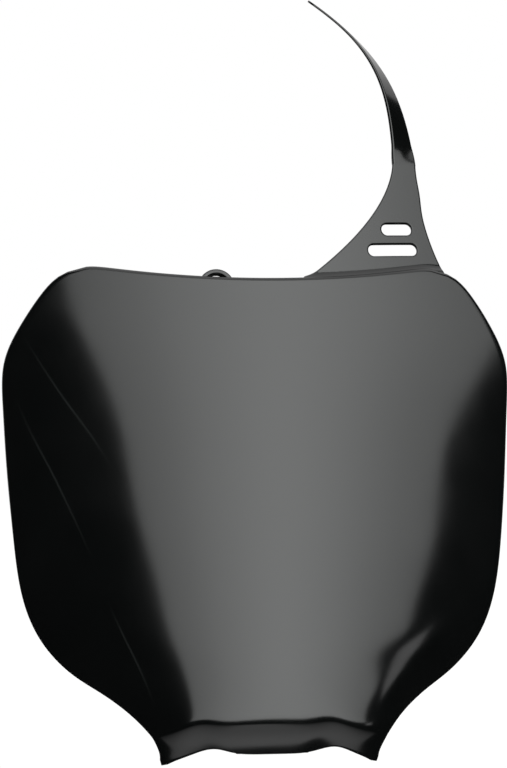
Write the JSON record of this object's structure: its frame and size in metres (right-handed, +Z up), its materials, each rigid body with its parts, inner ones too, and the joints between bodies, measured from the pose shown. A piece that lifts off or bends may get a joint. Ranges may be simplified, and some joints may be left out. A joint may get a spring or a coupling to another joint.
{
  "type": "motocross front number plate",
  "caption": "Black moulded front number plate for a motocross bike, with swept-back wings, a turned-under skirt, a slotted tab and a long twisted strap.",
  "frame": {"origin": "centre of the lower mounting hole at the top face of its shelf", "axes": "+Z up along the lower mounting hole, -Y towards the front of the bike, +X to the viewer's right when facing the plate"},
  "size_m": [0.248, 0.0965, 0.3683],
  "materials": {
    "moulding": "gloss black moulded polypropylene"
  },
  "bodies": {
    "plate": {"plate_shell": "moulding", "strap_tab": "moulding", "hose_loop": "moulding", "lower_mount": "moulding"},
    "strap_1": {"strap_link_1": "moulding"},
    "strap_2": {"strap_link_2": "moulding"},
    "strap_3": {"strap_link_3": "moulding"},
    "strap_4": {"strap_link_4": "moulding"},
    "strap_5": {"strap_link_5": "moulding"},
    "strap_6": {"strap_link_6": "moulding"},
    "strap_7": {"strap_link_7": "moulding"},
    "strap_8": {"strap_link_8": "moulding"},
    "strap_9": {"strap_link_9": "moulding"},
    "strap_10": {"strap_link_10": "moulding"}
  },
  "joints": [
    {"name": "strap_bend_1", "type": "hinge", "parent": "plate", "child": "strap_1", "pos_m": [0.0728, 0.04359, 0.27439], "axis": [-0.0446, -0.0595, -0.9972], "range_deg": [0, 23.85], "stiffness_Nm_per_rad": 0.05},
    {"name": "strap_bend_2", "type": "hinge", "parent": "strap_1", "child": "strap_2", "pos_m": [0.07194, 0.04609, 0.28522], "axis": [-0.858, -0.4476, -0.2517], "range_deg": [0, 31.92]},
    {"name": "strap_bend_3", "type": "hinge", "parent": "strap_2", "child": "strap_3", "pos_m": [0.07064, 0.04839, 0.29517], "axis": [-0.8005, -0.5708, -0.1827], "range_deg": [0, 42.5]},
    {"name": "strap_bend_4", "type": "hinge", "parent": "strap_3", "child": "strap_4", "pos_m": [0.06876, 0.05051, 0.30436], "axis": [-0.7147, -0.6734, -0.1889], "range_deg": [0, 43.21]},
    {"name": "strap_bend_5", "type": "hinge", "parent": "strap_4", "child": "strap_5", "pos_m": [0.06618, 0.05249, 0.31292], "axis": [-0.614, -0.7459, -0.2582], "range_deg": [0, 32.16]},
    {"name": "strap_bend_6", "type": "hinge", "parent": "strap_5", "child": "strap_6", "pos_m": [0.06275, 0.05434, 0.32097], "axis": [-0.4851, -0.7426, -0.4617], "range_deg": [0, 15.89]},
    {"name": "strap_bend_7", "type": "hinge", "parent": "strap_6", "child": "strap_7", "pos_m": [0.05833, 0.05611, 0.32863], "axis": [-0.3234, -0.6764, -0.6617], "range_deg": [0, 9.02]},
    {"name": "strap_bend_8", "type": "hinge", "parent": "strap_7", "child": "strap_8", "pos_m": [0.0528, 0.05782, 0.33603], "axis": [-0.2761, -0.795, -0.5401], "range_deg": [0, 8.44]},
    {"name": "strap_bend_9", "type": "hinge", "parent": "strap_8", "child": "strap_9", "pos_m": [0.04601, 0.0595, 0.34329], "axis": [-0.3826, -0.8585, -0.3416], "range_deg": [0, 7.42]},
    {"name": "strap_bend_10", "type": "hinge", "parent": "strap_9", "child": "strap_10", "pos_m": [0.03782, 0.06117, 0.35054], "axis": [-0.5811, -0.574, -0.5769], "range_deg": [0, 2.62]}
  ],
  "couplings": [
    {"joint": "strap_bend_2", "follows": "strap_bend_1", "ratio": 1.3374},
    {"joint": "strap_bend_3", "follows": "strap_bend_1", "ratio": 1.7813},
    {"joint": "strap_bend_4", "follows": "strap_bend_1", "ratio": 1.8107},
    {"joint": "strap_bend_5", "follows": "strap_bend_1", "ratio": 1.3476},
    {"joint": "strap_bend_6", "follows": "strap_bend_1", "ratio": 0.66534},
    {"joint": "strap_bend_7", "follows": "strap_bend_1", "ratio": 0.37737},
    {"joint": "strap_bend_8", "follows": "strap_bend_1", "ratio": 0.35301},
    {"joint": "strap_bend_9", "follows": "strap_bend_1", "ratio": 0.31039},
    {"joint": "strap_bend_10", "follows": "strap_bend_1", "ratio": 0.10883}
  ]
}
